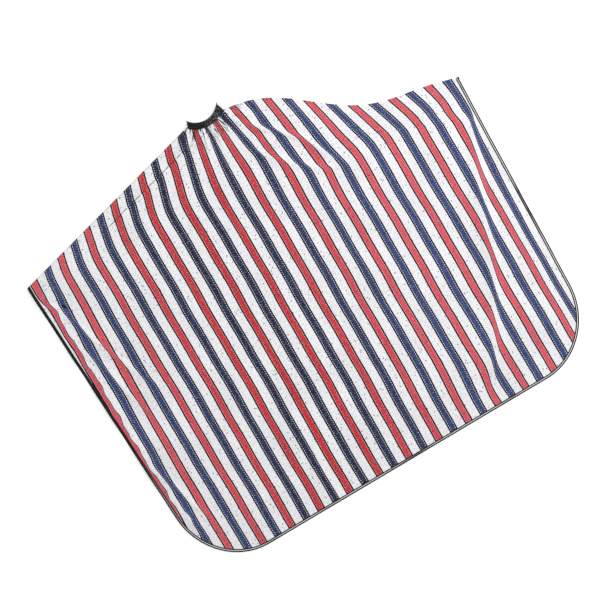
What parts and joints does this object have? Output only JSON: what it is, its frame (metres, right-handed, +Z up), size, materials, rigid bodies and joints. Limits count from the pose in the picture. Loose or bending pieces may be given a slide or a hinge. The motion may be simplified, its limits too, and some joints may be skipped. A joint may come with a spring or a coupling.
{
  "type": "barber cape",
  "caption": "Striped barber cape, laid flat and folded at the shoulders, with bound edges, an elastic neckband and a snap closure at the nape.",
  "frame": {"origin": "centre of the outline, on the surface the cape lies on", "axes": "+X across the cape from its left shoulder corner in plan to its right, +Y from the hem to the neck, +Z up out of the front face"},
  "size_m": [1.3965, 1.1838, 0.0182],
  "materials": {
    "striped_cloth": "light plain-weave polyester, white ground with red and navy stripes",
    "edge_binding": "black satin bias tape, stitched",
    "band_cloth": "black gathered cloth, slightly shiny",
    "band_elastic": "ribbed woven elastic",
    "snap_metal": "nickel-plated, lightly worn"
  },
  "bodies": {
    "front": {"front_panel": "striped_cloth", "front_hem_binding": "edge_binding", "front_band_outer": "band_cloth", "front_band_elastic": "band_elastic", "front_band_lining": "band_cloth"},
    "left_back": {"left_back_panel": "striped_cloth", "left_back_binding": "edge_binding", "left_band_outer": "band_cloth", "left_band_elastic": "band_elastic", "left_band_lining": "band_cloth", "snap_studs": "snap_metal", "snap_rings": "snap_metal"},
    "right_back": {"right_back_panel": "striped_cloth", "right_back_binding": "edge_binding", "right_band_outer": "band_cloth", "right_band_elastic": "band_elastic", "right_band_lining": "band_cloth"},
    "closure_tab": {"tab_outer": "band_cloth", "tab_lining": "band_cloth", "snap_caps": "snap_metal", "snap_sockets": "snap_metal"}
  },
  "joints": [
    {"name": "right_back_fold", "type": "hinge", "parent": "front", "child": "right_back", "pos_m": [0.04886, 0.59291, 0.00425], "axis": [0.9099, -0.4148, 0], "range_deg": [0, 181], "deforming": ["right_back_panel", "right_back_binding"]},
    {"name": "left_back_fold", "type": "hinge", "parent": "front", "child": "left_back", "pos_m": [-0.04886, 0.59291, 0.0056], "axis": [0.9628, 0.2703, 0], "range_deg": [0, 181], "deforming": ["left_back_panel", "left_back_binding"]},
    {"name": "closure_peel", "type": "hinge", "parent": "right_back", "child": "closure_tab", "pos_m": [0.002, 0.55809, 0.0013], "axis": [0, -1, 0], "range_deg": [0, 120]}
  ],
  "couplings": [
    {"joint": "left_back_fold", "follows": "right_back_fold", "ratio": 1}
  ]
}
